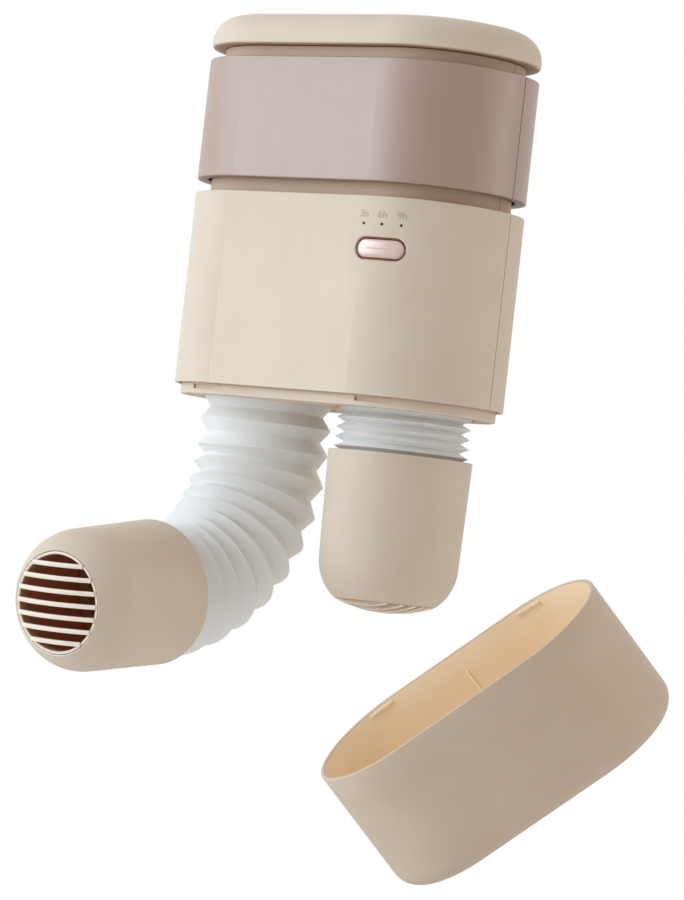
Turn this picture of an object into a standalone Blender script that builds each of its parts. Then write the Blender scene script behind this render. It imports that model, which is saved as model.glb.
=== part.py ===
"""Boot dryer with two extendable bellows hoses, a detachable cup cover and a timed fan heater.

Frame: metres, +Z up along the body, -Y is the front, +X is the right-hand side seen from the front.
The origin is the centre of the lower casing's bottom edge.
The left hose stands pulled out and bent forward, the right hose is nearly pushed in, and the cup
cover is off, behind and below the body.
"""

import math

import bmesh
import bpy
from mathutils import Euler, Matrix, Vector

# ---------------------------------------------------------------- driving dimensions (metres)
GAP = 0.0003                    # clearance left between touching pieces
BODY_WIDTH = 0.147
BODY_DEPTH = 0.081
ARC_STEPS = 14                  # facets on each half-round end of the body

LIP_BOTTOM = -0.0043
SHELL_TOP = 0.0781
BAND_BOTTOM = 0.0839
BAND_TOP = 0.1329
NECK_TOP = 0.1379
CAP_BOTTOM = NECK_TOP + GAP
CAP_TOP = 0.1515
CAP_EDGE_RADIUS = 0.0105
EDGE_STEPS = 5                  # facets on a rounded edge of the cap and the cup
SEAM_Y = 0.0035                 # where the front and rear casings meet

SHELL_WALL = 0.0020
NECK_INSET = 0.0058
LIP_INSET = 0.0028
BAND_WALL = 0.0022
SHOULDER = 0.0022

END_CENTRE = BODY_WIDTH / 2 - BODY_DEPTH / 2    # centre of a half-round end
END_RADIUS = BODY_DEPTH / 2

BUTTON_ANGLE = math.radians(13.6)               # around the right-hand end, from the front
BUTTON_Z = 0.0574
BUTTON_SIZE = (0.0204, 0.0074)
BEZEL_HOLE = (0.0210, 0.0080)
BEZEL_SIZE = (0.0226, 0.0096)
LENS_ANGLES = {"3h": 2.0, "6h": 13.5, "9h": 24.9}
LENS_Z = 0.0671
LENS_RADIUS = 0.0005

HOSE_X = 0.035
HOSE_CREST = 0.0268
HOSE_VALLEY = 0.0232
HIDDEN_CREST = 0.0262                           # of the folds packed inside the right nozzle
HOSE_WALL = 0.0008
HOSE_TOP = 0.0095                               # where both hoses start, inside the body
PLATE_TOP = 0.0030
PLATE_HOLE = 0.0274
SPIGOT_RADIUS = 0.0219
COLLAR_OUTER = 0.0286

LEFT_PITCH = 0.01035                            # one fold of the pulled-out hose
LEFT_CREST = 0.0132                             # first crest below the plate
LEFT_STRAIGHT = 0.0244                          # length hanging straight below z = 0
LEFT_BEND = math.radians(82.4)
LEFT_BEND_YAW = math.radians(-2.9)
LEFT_END_YAW = math.radians(5.0)                   # sideways turn of the last stretch alone
LEFT_LINK = 0.0294                              # length of each of the three stretches that bend
LEFT_LINKS = 3
LEFT_RADIUS = LEFT_LINK * LEFT_LINKS / LEFT_BEND
LEFT_ARC_END = LEFT_STRAIGHT + LEFT_RADIUS * LEFT_BEND
LEFT_RIM = LEFT_ARC_END + 0.0066                # where the left nozzle's rim lies along the hose
LEFT_END = LEFT_RIM + 0.0090                    # where the left hose ends, inside its nozzle

RIGHT_PITCH = 0.00387
RIGHT_NECK_START = 0.0062                       # first valley below the plate
RIGHT_NECK_FOLDS = 4
RIGHT_LOWER_FOLDS = 9
RIGHT_NECK_END = RIGHT_NECK_START + RIGHT_PITCH * RIGHT_NECK_FOLDS
RIGHT_LOWER_END = RIGHT_NECK_END + RIGHT_PITCH * RIGHT_LOWER_FOLDS
RIGHT_RIM = 0.0213

NOZZLE_RIM_RADIUS = 0.0290
NOZZLE_END_RADIUS = 0.0280
NOZZLE_STRAIGHT = 0.0427                        # from the rim to where the end starts to round
NOZZLE_CORNER = 0.0206
NOZZLE_OPENING = 0.0202
NOZZLE_WALL = 0.0012
GRILLE_RADIUS = 0.0199
GRILLE_BORE = 0.0186
GRILLE_FLANGE = 0.0213                          # the insert's flange behind the nozzle's wall
GRILLE_START = 0.0545
GRILLE_END = 0.0592
DOME_RADIUS = 0.0520                            # of the grille's bulging front
DOME_TOP = 0.0630                               # the bulge's highest point, from the nozzle's rim
SLAT_COUNT = 7
SLAT_PITCH = 0.0050
SLAT_THICKNESS = 0.0017
SLAT_DEPTH = 0.0024
SLAT_STEPS = 8

CLIP_RECESSES = ((-0.0475, -0.0307), (0.0375, 0.0533))    # in the lip, along the outline from mid front
CLIP_RIDGES = ((-0.0471, -0.0344), (0.0344, 0.0471))      # inside the cup's rim, measured the same way

CUP_HEIGHT = 0.0651
CUP_WALL = 0.0018
CUP_EDGE_RADIUS = 0.0095
CUP_RIM_CENTRE = (-0.0342, 0.1532, -0.1108)
CUP_TILT = (math.radians(20.0), math.radians(-40.8), math.radians(26.3))

DUCT_BOTTOM = 0.0100
DUCT_TOP = 0.0280
HEATER_TOP = 0.0477
FAN_BOTTOM = 0.0480
FAN_TOP = 0.0720
FAN_BORE = 0.0280
FAN_HALF = 0.0295
MOTOR_RADIUS = 0.0110
SCREW_PLACES = [(x, y) for x in (-0.0567, 0.0567) for y in (-0.0237, 0.0237)]

SMOOTH_ANGLE = math.radians(35)

# ---------------------------------------------------------------- scene and collections
for old in list(bpy.data.objects):
    bpy.data.objects.remove(old, do_unlink=True)

parts = bpy.data.collections.new("boot_dryer")
cutters = bpy.data.collections.new("cutters")
bpy.context.scene.collection.children.link(parts)
bpy.context.scene.collection.children.link(cutters)


def material(name, colour, roughness, metallic=0.0):
    """A plain Principled material."""
    made = bpy.data.materials.new(name)
    made.use_nodes = True
    shader = made.node_tree.nodes["Principled BSDF"]
    shader.inputs["Base Color"].default_value = (*colour, 1.0)
    shader.inputs["Roughness"].default_value = roughness
    shader.inputs["Metallic"].default_value = metallic
    made.diffuse_color = (*colour, 1.0)
    return made


CREAM = (0.76, 0.70, 0.63)
BROWN = (0.55, 0.43, 0.37)
WHITE = (0.80, 0.80, 0.80)
STEEL = (0.60, 0.60, 0.62)
BLACK = (0.03, 0.03, 0.03)


# ---------------------------------------------------------------- small modelling tools
def evaluated_mesh(obj):
    """The object's final mesh as plain data, with loose caps welded."""
    bpy.context.view_layer.update()
    graph = bpy.context.evaluated_depsgraph_get()
    mesh = bpy.data.meshes.new_from_object(obj.evaluated_get(graph))
    work = bmesh.new()
    work.from_mesh(mesh)
    bmesh.ops.remove_doubles(work, verts=work.verts, dist=0.000001)
    bmesh.ops.recalc_face_normals(work, faces=work.faces)
    work.to_mesh(mesh)
    work.free()
    return mesh


def place(name, mesh, paint=None):
    """A new object among the parts when it has paint, else among the cutters."""
    obj = bpy.data.objects.new(name, mesh)
    if paint is None:
        cutters.objects.link(obj)
        obj.hide_render = True
        obj.display_type = "WIRE"
        return obj
    parts.objects.link(obj)
    mesh.materials.clear()
    mesh.materials.append(material(name + "_finish", *paint))
    mesh.shade_smooth()
    mesh.set_sharp_from_angle(angle=SMOOTH_ANGLE)
    return obj


def stadium(width, depth, steps=ARC_STEPS):
    """Outline of two half circles joined by straight sides, counter-clockwise."""
    radius = depth / 2
    centre = width / 2 - radius
    points = []
    for side in (1, -1):
        for i in range(steps + 1):
            angle = -math.pi / 2 + math.pi * i / steps
            x = side * (centre + radius * math.cos(angle))
            y = side * radius * math.sin(angle)
            points.append((x, y))
    return points


def body_outline(inset):
    """The body's outline, moved inwards by inset."""
    return stadium(BODY_WIDTH - 2 * inset, BODY_DEPTH - 2 * inset)


def outline_point(distance, radius):
    """A point beside the body's outline, at a distance along it from the middle of the front."""
    turn = max(0.0, abs(distance) - END_CENTRE) / END_RADIUS
    x = min(abs(distance), END_CENTRE) + radius * math.sin(turn)
    return (math.copysign(x, distance), -radius * math.cos(turn))


def curved_bars(stretches, inner, outer, z0, z1):
    """Bars that follow the outline at the front, and the same again half a turn away."""
    bars = []
    for start, end in stretches:
        stops = [start + (end - start) * i / 5 for i in range(6)]
        border = [outline_point(stop, outer) for stop in stops]
        border += [outline_point(stop, inner) for stop in reversed(stops)]
        bars.append(prism_mesh(border, z0, z1))
        bars.append(prism_mesh([(-x, -y) for x, y in border], z0, z1))
    return bars


def rectangle(x0, x1, y0, y1):
    """Outline of a rectangle."""
    return [(x0, y0), (x1, y0), (x1, y1), (x0, y1)]


def prism_mesh(outline, z0, z1):
    """A flat outline with thickness, from z0 to z1."""
    curve = bpy.data.curves.new("outline", "CURVE")
    curve.dimensions = "2D"
    curve.fill_mode = "BOTH"
    curve.extrude = (z1 - z0) / 2
    spline = curve.splines.new("POLY")
    spline.points.add(len(outline) - 1)
    for point, (x, y) in zip(spline.points, outline):
        point.co = (x, y, 0.0, 1.0)
    spline.use_cyclic_u = True
    guide = bpy.data.objects.new("outline", curve)
    cutters.objects.link(guide)
    mesh = evaluated_mesh(guide)
    bpy.data.objects.remove(guide, do_unlink=True)
    mesh.transform(Matrix.Translation((0, 0, (z0 + z1) / 2)))
    return mesh


def prism(name, outline, z0, z1, paint=None):
    """An object made of one prism."""
    return place(name, prism_mesh(outline, z0, z1), paint)


def box_mesh(low, high):
    """A box between two corners."""
    work = bmesh.new()
    bmesh.ops.create_cube(work, size=1.0)
    size = Vector(high) - Vector(low)
    centre = (Vector(high) + Vector(low)) / 2
    bmesh.ops.scale(work, vec=size, verts=work.verts)
    bmesh.ops.translate(work, vec=centre, verts=work.verts)
    mesh = bpy.data.meshes.new("box")
    work.to_mesh(mesh)
    work.free()
    return mesh


def cylinder_mesh(radius, z0, z1, x=0.0, y=0.0, sides=20):
    """An upright cylinder."""
    work = bmesh.new()
    bmesh.ops.create_cone(
        work, cap_ends=True, segments=sides, radius1=radius, radius2=radius, depth=z1 - z0
    )
    bmesh.ops.translate(work, vec=(x, y, (z0 + z1) / 2), verts=work.verts)
    mesh = bpy.data.meshes.new("cylinder")
    work.to_mesh(mesh)
    work.free()
    return mesh


def turned_mesh(profile, steps=28):
    """A closed profile of (radius, z), outer side downwards first, turned about Z."""
    mesh = bpy.data.meshes.new("profile")
    points = [(radius, 0.0, z) for radius, z in profile]
    count = len(points)
    edges = [(i, (i + 1) % count) for i in range(count)]
    mesh.from_pydata(points, edges, [])
    guide = bpy.data.objects.new("profile", mesh)
    cutters.objects.link(guide)
    screw = guide.modifiers.new("turn", "SCREW")
    screw.steps = steps
    screw.render_steps = steps
    screw.use_merge_vertices = True
    screw.merge_threshold = 0.00001
    turned = evaluated_mesh(guide)
    bpy.data.objects.remove(guide, do_unlink=True)
    return turned


def boolean(obj, tool, operation):
    """One exact boolean step."""
    step = obj.modifiers.new(operation.lower() + "_" + tool.name, "BOOLEAN")
    step.operation = operation
    step.solver = "EXACT"
    step.object = tool
    return obj


def cut(obj, mesh):
    """Take a mesh away from an object."""
    return boolean(obj, place("cut_" + obj.name, mesh), "DIFFERENCE")


def add(obj, mesh):
    """Join a mesh to an object."""
    return boolean(obj, place("add_" + obj.name, mesh), "UNION")


def merged(meshes):
    """Several separate closed meshes as one mesh."""
    work = bmesh.new()
    for mesh in meshes:
        work.from_mesh(mesh)
    joined = bpy.data.meshes.new("merged")
    work.to_mesh(joined)
    work.free()
    return joined


def stacked_mesh(levels):
    """A closed solid through body outlines, one for each (inset, z), from the bottom up."""
    work = bmesh.new()
    rings = []
    for inset, z in levels:
        rings.append([work.verts.new((x, y, z)) for x, y in body_outline(inset)])
    count = len(rings[0])
    for low, high in zip(rings, rings[1:]):
        for i in range(count):
            k = (i + 1) % count
            work.faces.new((low[i], low[k], high[k], high[i]))
    work.faces.new(list(reversed(rings[0])))
    work.faces.new(rings[-1])
    bmesh.ops.recalc_face_normals(work, faces=work.faces)
    mesh = bpy.data.meshes.new("stack")
    work.to_mesh(mesh)
    work.free()
    return mesh


def rounded_edge(radius, inset=0.0):
    """Insets and heights over a quarter round, from the upright wall to the flat face."""
    points = []
    for i in range(EDGE_STEPS + 1):
        angle = math.pi / 2 * i / EDGE_STEPS
        points.append((inset + radius * (1 - math.cos(angle)), radius * math.sin(angle)))
    return points


# ---------------------------------------------------------------- casing
def half_space(front):
    """A big box over the half of the body that a front or rear casing does not fill."""
    far = 0.2
    edge = GAP / 2
    if front:
        return box_mesh((-far, SEAM_Y - edge, -far), (far, far, far))
    return box_mesh((-far, -far, -far), (far, SEAM_Y + edge, far))


def radial_place(angle, z):
    """Frame on the right-hand end: Z points outwards, X runs along the wall."""
    outward = Vector((math.sin(angle), -math.cos(angle), 0.0))
    along = Vector((math.cos(angle), math.sin(angle), 0.0))
    up = Vector((0.0, 0.0, 1.0))
    frame = Matrix((along, up, outward)).transposed().to_4x4()
    frame.translation = Vector((END_CENTRE, 0.0, z))
    return frame


def pill_mesh(size, r0, r1):
    """A pill-shaped plug through the wall at the button, from radius r0 to r1."""
    mesh = prism_mesh(stadium(size[0], size[1], 8), r0, r1)
    mesh.transform(radial_place(BUTTON_ANGLE, BUTTON_Z))
    return mesh


def intake_slots(front):
    """Upright slots in the neck wall, hidden behind the band."""
    side = -1 if front else 1
    y0, y1 = sorted((side * 0.030, side * 0.040))
    places = [0.0085 * i for i in range(-3, 4)]
    return merged([box_mesh((x - 0.0013, y0, 0.092), (x + 0.0013, y1, 0.124)) for x in places])


def casing(name, front):
    """One half of the lower casing with its shoulder and neck."""
    shell = prism(name, body_outline(0.0), 0.0, SHELL_TOP, (CREAM, 0.45))
    add(shell, prism_mesh(body_outline(NECK_INSET), SHELL_TOP - SHOULDER / 2, NECK_TOP))
    cut(shell, prism_mesh(body_outline(SHELL_WALL), -0.001, SHELL_TOP - SHOULDER))
    neck_hollow = body_outline(NECK_INSET + SHELL_WALL)
    cut(shell, prism_mesh(neck_hollow, SHELL_TOP - 2 * SHOULDER, NECK_TOP + 0.001))
    cut(shell, intake_slots(front))
    if front:
        hole = (BEZEL_SIZE[0] + 2 * GAP, BEZEL_SIZE[1] + 2 * GAP)
        cut(shell, pill_mesh(hole, END_RADIUS - 0.006, END_RADIUS + 0.004))
        bores = []
        for angle in LENS_ANGLES.values():
            bore = cylinder_mesh(LENS_RADIUS + GAP, END_RADIUS - 0.005, END_RADIUS + 0.003, sides=12)
            bore.transform(radial_place(math.radians(angle), LENS_Z))
            bores.append(bore)
        cut(shell, merged(bores))
    else:
        bore = cylinder_mesh(0.0050 + GAP, -0.01, 0.01)
        bore.transform(Matrix.Translation((0, END_RADIUS, 0.014)) @ Matrix.Rotation(math.pi / 2, 4, "X"))
        cut(shell, bore)
    return cut(shell, half_space(front))


def band(name, front):
    """One half of the coloured band, standing off the neck on ribs."""
    half = prism(name, body_outline(0.0), BAND_BOTTOM, BAND_TOP, (BROWN, 0.5))
    cut(half, prism_mesh(body_outline(BAND_WALL), BAND_BOTTOM - 0.001, BAND_TOP + 0.001))
    side = -1 if front else 1
    inner = BODY_DEPTH / 2 - NECK_INSET + GAP
    outer = BODY_DEPTH / 2 - BAND_WALL / 2
    y0, y1 = sorted((side * inner, side * outer))
    z0 = BAND_BOTTOM + 0.0015
    z1 = BAND_TOP - 0.0015
    ribs = [box_mesh((x - 0.001, y0, z0), (x + 0.001, y1, z1)) for x in (-0.0315, 0.0315)]
    add(half, merged(ribs))
    return cut(half, half_space(front))


def top_cap():
    """The domed-edge lid over the neck."""
    levels = [(0.0008, CAP_BOTTOM), (0.0002, CAP_BOTTOM + 0.0003), (0.0, CAP_BOTTOM + 0.0009)]
    start = CAP_TOP - CAP_EDGE_RADIUS
    levels += [(inset, start + height) for inset, height in rounded_edge(CAP_EDGE_RADIUS)]
    cap = place("top_cap", stacked_mesh(levels), (CREAM, 0.45))
    hollow = body_outline(NECK_INSET + SHELL_WALL + 0.001)
    return cut(cap, prism_mesh(hollow, CAP_BOTTOM - 0.001, CAP_TOP - 0.003))


def base_plate():
    """The underside plate, with two hose outlets, screw holes and recesses for the cover's clips."""
    plate = prism("base_plate", body_outline(LIP_INSET), LIP_BOTTOM, PLATE_TOP, (CREAM, 0.5))
    bores = [
        cylinder_mesh(PLATE_HOLE, LIP_BOTTOM - 0.001, PLATE_TOP + 0.001, side * HOSE_X, sides=28)
        for side in (-1, 1)
    ]
    cut(plate, merged(bores))
    screw_bores = []
    for x, y in SCREW_PLACES:
        screw_bores.append(cylinder_mesh(0.0015, LIP_BOTTOM + 0.001, PLATE_TOP + 0.001, x, y, 12))
    cut(plate, merged(screw_bores))
    heads = [cylinder_mesh(0.0027, LIP_BOTTOM - 0.001, LIP_BOTTOM + 0.0020, x, y, 12)
             for x, y in SCREW_PLACES]
    cut(plate, merged(heads))
    face = END_RADIUS - LIP_INSET
    recesses = curved_bars(CLIP_RECESSES, face - 0.0009, face + 0.001, -0.0027, -0.0007)
    return cut(plate, merged(recesses))


def screws():
    """Four screws through the base plate into the duct's bosses."""
    for number, (x, y) in enumerate(SCREW_PLACES, start=1):
        top = 0.0095
        neck = LIP_BOTTOM + 0.0017
        bottom = LIP_BOTTOM + 0.0003
        profile = [(0.0004, top), (0.0012, top), (0.0012, neck), (0.0024, neck),
                   (0.0024, bottom), (0.0004, bottom)]
        work = turned_mesh(profile, 12)
        work.transform(Matrix.Translation((x, y, 0)))
        place("base_screw_%d" % number, work, (STEEL, 0.3, 1.0))


def button():
    """The pill-shaped push button in its bezel; the button slides inwards."""
    face = END_RADIUS - 0.0001
    trim = cylinder_mesh(face, -0.02, 0.02, sides=72)
    trim.transform(Matrix.Translation((END_CENTRE, 0, BUTTON_Z)))
    key = place("button", pill_mesh(BUTTON_SIZE, END_RADIUS - 0.0042, END_RADIUS + 0.003),
                ((0.80, 0.68, 0.64), 0.18, 1.0))
    boolean(key, place("face_button", trim), "INTERSECT")
    ring = place("button_bezel", pill_mesh(BEZEL_SIZE, END_RADIUS - 0.0030, END_RADIUS + 0.003),
                 ((0.62, 0.35, 0.24), 0.25, 1.0))
    cut(ring, pill_mesh(BEZEL_HOLE, END_RADIUS - 0.006, END_RADIUS + 0.005))
    boolean(ring, place("face_bezel", trim.copy()), "INTERSECT")


def lenses():
    """Three light pipes for the timer's indicators."""
    for name, angle in LENS_ANGLES.items():
        pipe = cylinder_mesh(LENS_RADIUS, 0.0335, END_RADIUS - 0.0001, sides=12)
        pipe.transform(radial_place(math.radians(angle), LENS_Z))
        place("indicator_lens_" + name, pipe, ((0.06, 0.04, 0.03), 0.2))


# ---------------------------------------------------------------- works inside the body
def control_board():
    """The upright board behind the button, with its push switch as a separate piece."""
    frame = radial_place(BUTTON_ANGLE, 0.060)
    board = box_mesh((-0.0145, -0.0140, 0.0302), (0.0145, 0.0140, 0.0318))
    board.transform(frame)
    place("control_board", board, ((0.02, 0.18, 0.08), 0.5))
    body = box_mesh((-0.0030, -0.0056, 0.0321), (0.0030, 0.0004, 0.0341))
    body.transform(frame)
    switch = place("push_switch", body, (BLACK, 0.5))
    stem = cylinder_mesh(0.0015, 0.0335, 0.0348, 0.0, -0.0026, 12)
    stem.transform(frame)
    add(switch, stem)


def power_board():
    """The mains board at the left-hand end."""
    x = -0.0470
    board = place("power_board", box_mesh((x, -0.021, 0.034), (x + 0.0016, 0.021, 0.073)),
                  ((0.02, 0.18, 0.08), 0.5))
    tall = box_mesh((x - 0.012, -0.016, 0.040), (x + 0.0008, -0.002, 0.056))
    small = box_mesh((x - 0.008, 0.004, 0.056), (x + 0.0008, 0.014, 0.068))
    add(board, merged([tall, small]))


def air_duct():
    """The chamber under the heater, with one spigot for each hose and bosses for the screws."""
    duct = prism("air_duct", body_outline(0.0050), DUCT_BOTTOM, DUCT_TOP, (WHITE, 0.6))
    cut(duct, prism_mesh(body_outline(0.0068), DUCT_BOTTOM + 0.0018, DUCT_TOP - 0.0018))
    cut(duct, prism_mesh(rectangle(-0.026, 0.026, -0.021, 0.021), DUCT_TOP - 0.01, DUCT_TOP + 0.01))
    spigots = [cylinder_mesh(SPIGOT_RADIUS, -0.002, DUCT_BOTTOM + 0.001, side * HOSE_X, sides=24)
               for side in (-1, 1)]
    bosses = [cylinder_mesh(0.0026, PLATE_TOP + GAP, DUCT_BOTTOM + 0.001, x, y, 16)
              for x, y in SCREW_PLACES]
    add(duct, merged(spigots + bosses))
    bores = [cylinder_mesh(SPIGOT_RADIUS - 0.0015, -0.01, DUCT_BOTTOM + 0.005, side * HOSE_X, sides=24)
             for side in (-1, 1)]
    screw_bores = [cylinder_mesh(0.0015, 0.0, DUCT_BOTTOM + 0.0005, x, y, 12) for x, y in SCREW_PLACES]
    return cut(duct, merged(bores + screw_bores))


def heater():
    """The heater's frame, its finned core and the thermal cut-out on the frame's side."""
    z0 = DUCT_TOP + GAP
    frame = prism("heater_frame", rectangle(-0.029, 0.029, -0.024, 0.024), z0, HEATER_TOP,
                  ((0.50, 0.45, 0.38), 0.7))
    cut(frame, prism_mesh(rectangle(-0.027, 0.027, -0.022, 0.022), z0 - 0.001, HEATER_TOP + 0.001))
    core = place("heater_core", box_mesh((-0.0265, -0.0215, z0 + 0.002), (0.0265, 0.0215, z0 + 0.016)),
                 ((0.70, 0.70, 0.72), 0.35, 1.0))
    slot_width = 0.0036
    slots = []
    for i in range(-4, 5):
        x = i * 0.0056
        slots.append(box_mesh((x - slot_width / 2, -0.019, z0), (x + slot_width / 2, 0.019, z0 + 0.02)))
    cut(core, merged(slots))
    cutout = box_mesh((-0.004, -0.0275, z0 + 0.006), (0.004, -0.024 - GAP, z0 + 0.014))
    place("thermal_cutout", cutout, (STEEL, 0.4, 1.0))


def fan():
    """The square fan housing with its spider, the impeller and the motor above it."""
    house = prism("fan_housing", rectangle(-FAN_HALF, FAN_HALF, -FAN_HALF, FAN_HALF), FAN_BOTTOM,
                  FAN_TOP, (BLACK, 0.5))
    cut(house, cylinder_mesh(FAN_BORE, FAN_BOTTOM - 0.001, FAN_TOP + 0.001, sides=28))
    arm_low = FAN_TOP - 0.003
    arms = []
    for i in range(4):
        arm = box_mesh((MOTOR_RADIUS + 0.0010, -0.0015, arm_low), (FAN_BORE + 0.0012, 0.0015, FAN_TOP))
        arm.transform(Matrix.Rotation(math.pi / 4 + i * math.pi / 2, 4, "Z"))
        arms.append(arm)
    add(house, merged(arms))
    ring_in = MOTOR_RADIUS + GAP
    ring_out = MOTOR_RADIUS + 0.0022
    ring = [(ring_out, FAN_TOP), (ring_out, arm_low), (ring_in, arm_low), (ring_in, FAN_TOP)]
    add(house, turned_mesh(ring, 24))

    hub_top = 0.0655
    motor = [(0.0006, 0.0820), (MOTOR_RADIUS, 0.0820), (MOTOR_RADIUS, hub_top + 0.002),
             (0.0010, hub_top + 0.002), (0.0010, 0.0580), (0.0006, 0.0580)]
    place("motor", turned_mesh(motor, 18), (STEEL, 0.3, 1.0))

    hub = [(0.0013, hub_top), (0.0090, hub_top), (0.0098, hub_top - 0.001), (0.0098, 0.0525),
           (0.0013, 0.0525)]
    wheel = place("impeller", turned_mesh(hub, 20), ((0.12, 0.12, 0.13), 0.5))
    blades = []
    blade_count = 7
    for i in range(blade_count):
        blade = box_mesh((0.0090, -0.0007, -0.0065), (0.0262, 0.0007, 0.0065))
        pitch = Matrix.Rotation(math.radians(38), 4, "X")
        turn = Matrix.Rotation(2 * math.pi * i / blade_count, 4, "Z")
        blade.transform(Matrix.Translation((0, 0, 0.0590)) @ turn @ pitch)
        blades.append(blade)
    add(wheel, merged(blades))


def cord_gland():
    """The ring at the back where the mains lead would enter."""
    r0, r1 = 0.0031, 0.0050
    flange = 0.0066
    profile = [(r1, 0.0040), (r1, -GAP), (flange, -GAP), (flange, -0.0018), (r0, -0.0018), (r0, 0.0040)]
    ring = turned_mesh(profile, 16)
    ring.transform(Matrix.Translation((0, END_RADIUS, 0.014)) @ Matrix.Rotation(math.pi / 2, 4, "X"))
    place("cord_gland", ring, ((0.25, 0.22, 0.20), 0.6))


# ---------------------------------------------------------------- hoses
def left_heading(bent):
    """The left hose's direction and its level axis, a length past the start of its bend."""
    angle = bent / LEFT_RADIUS
    yaw = LEFT_BEND_YAW + LEFT_END_YAW * max(0.0, bent / LEFT_LINK - (LEFT_LINKS - 1))
    ahead = Vector((math.sin(yaw), -math.cos(yaw), 0.0))
    along = ahead * math.sin(angle) + Vector((0.0, 0.0, -math.cos(angle)))
    return along, Vector((-ahead.y, ahead.x, 0.0))


def left_frame(length):
    """Frame on the left hose's centre line, length below z = 0; its -Z runs along the hose."""
    bent = min(max(length - LEFT_STRAIGHT, 0.0), LEFT_LINK * LEFT_LINKS)
    centre = Vector((-HOSE_X, 0.0, -min(length, LEFT_STRAIGHT)))
    steps = math.ceil(bent / 0.0005)
    for i in range(steps):
        centre += left_heading(bent * (i + 0.5) / steps)[0] * bent / steps
    along, level = left_heading(bent)
    centre += along * max(length - LEFT_ARC_END, 0.0)
    axes = Matrix((level, level.cross(along), -along)).transposed().to_4x4()
    return Matrix.Translation(centre) @ axes


def right_frame(length):
    """Frame on the right hose's straight centre line, length below z = 0."""
    return Matrix.Translation((HOSE_X, 0, -length))


def bellows(name, path, start, end, pitch, crest_at, top=HOSE_CREST):
    """A folded tube along a path, between two lengths, with a crest at one known length."""
    stops = {start, end}
    first = math.ceil((start - crest_at) / (pitch / 2))
    last = math.floor((end - crest_at) / (pitch / 2))
    for i in range(first, last + 1):
        stops.add(min(max(crest_at + i * pitch / 2, start), end))
    stops = sorted(stops)
    stops = [s for k, s in enumerate(stops) if k == 0 or s - stops[k - 1] > 0.0001]

    def radius(length):
        swing = abs(((length - crest_at) / pitch + 0.5) % 1.0 - 0.5) * 2
        return top + (HOSE_VALLEY - top) * swing

    outer = [(radius(s), -s) for s in stops]
    inner = [(radius(s) - HOSE_WALL, -s) for s in reversed(stops)]
    mesh = turned_mesh(outer + inner, 16)
    for vertex in mesh.vertices:
        length = -vertex.co.z
        flat = Vector((vertex.co.x, vertex.co.y, 0.0))
        vertex.co = path(length) @ flat
    return place(name, mesh, (WHITE, 0.5))


def collar(name, path, start, end, inner, outer):
    """A plain ring round a hose."""
    profile = [(outer, -start), (outer, -end), (inner, -end), (inner, -start)]
    mesh = turned_mesh(profile, 20)
    mesh.transform(path(0.0))
    return place(name, mesh, ((0.60, 0.55, 0.50), 0.5))


def nozzle_profile():
    """Closed section of the nozzle's shell: (radius, distance from the rim, downwards negative)."""
    centre = NOZZLE_END_RADIUS - NOZZLE_CORNER

    def rounding(radius, limit, steps):
        last = math.acos((limit - centre) / radius)
        angles = [last * i / steps for i in range(steps + 1)]
        return [(centre + radius * math.cos(a), -NOZZLE_STRAIGHT - radius * math.sin(a)) for a in angles]

    outer = [(NOZZLE_RIM_RADIUS - 0.0004, 0.0), (NOZZLE_RIM_RADIUS, -0.0005)]
    outer += rounding(NOZZLE_CORNER, NOZZLE_OPENING + 0.0003, 5)
    outer.append((NOZZLE_OPENING, outer[-1][1] + 0.0001))
    inner = rounding(NOZZLE_CORNER - NOZZLE_WALL, NOZZLE_OPENING, 4)
    return outer + list(reversed(inner)) + [(NOZZLE_RIM_RADIUS - NOZZLE_WALL, 0.0)]


def dome(x, y):
    """How far the grille's bulging front stands from the nozzle's rim at a place on it."""
    return DOME_TOP - DOME_RADIUS + math.sqrt(DOME_RADIUS ** 2 - x * x - y * y)


def slat_mesh(y, half):
    """One slat of the grille at height y, its front following the bulge."""
    work = bmesh.new()
    rings = []
    for i in range(SLAT_STEPS + 1):
        x = half * (2 * i / SLAT_STEPS - 1)
        front = dome(x, y)
        corners = ((-1, 0.0), (1, 0.0), (1, SLAT_DEPTH), (-1, SLAT_DEPTH))
        rings.append([work.verts.new((x, y + side * SLAT_THICKNESS / 2, depth - front))
                      for side, depth in corners])
    for first, second in zip(rings, rings[1:]):
        for i in range(4):
            k = (i + 1) % 4
            work.faces.new((first[i], first[k], second[k], second[i]))
    work.faces.new(rings[0])
    work.faces.new(rings[-1])
    bmesh.ops.recalc_face_normals(work, faces=work.faces)
    mesh = bpy.data.meshes.new("slat")
    work.to_mesh(mesh)
    work.free()
    return mesh


def grille(name, frame):
    """The outlet insert: a flanged ring with parallel slats that bulge forwards."""
    ring = [(GRILLE_RADIUS, -GRILLE_START - 0.0012), (GRILLE_RADIUS, -GRILLE_END + 0.0002),
            (GRILLE_RADIUS - 0.0003, -GRILLE_END), (GRILLE_BORE, -GRILLE_END),
            (GRILLE_BORE, -GRILLE_START), (GRILLE_FLANGE, -GRILLE_START),
            (GRILLE_FLANGE, -GRILLE_START - 0.0012)]
    mesh = turned_mesh(ring, 28)
    mesh.transform(frame)
    insert = place(name, mesh, (CREAM, 0.5))
    middle = (SLAT_COUNT - 1) / 2
    reach = (GRILLE_RADIUS + GRILLE_BORE) / 2
    slats = []
    for i in range(SLAT_COUNT):
        y = (i - middle) * SLAT_PITCH
        slats.append(slat_mesh(y, math.sqrt(reach ** 2 - y ** 2)))
    joined = merged(slats)
    joined.transform(frame)
    return add(insert, joined)


def nozzle(side, frame):
    """A nozzle's shell, its outlet grille and the collar that holds the hose in it."""
    shell = turned_mesh(nozzle_profile(), 28)
    shell.transform(frame)
    place(side + "_nozzle", shell, (CREAM, 0.45))
    grille(side + "_outlet_grille", frame)


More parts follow.
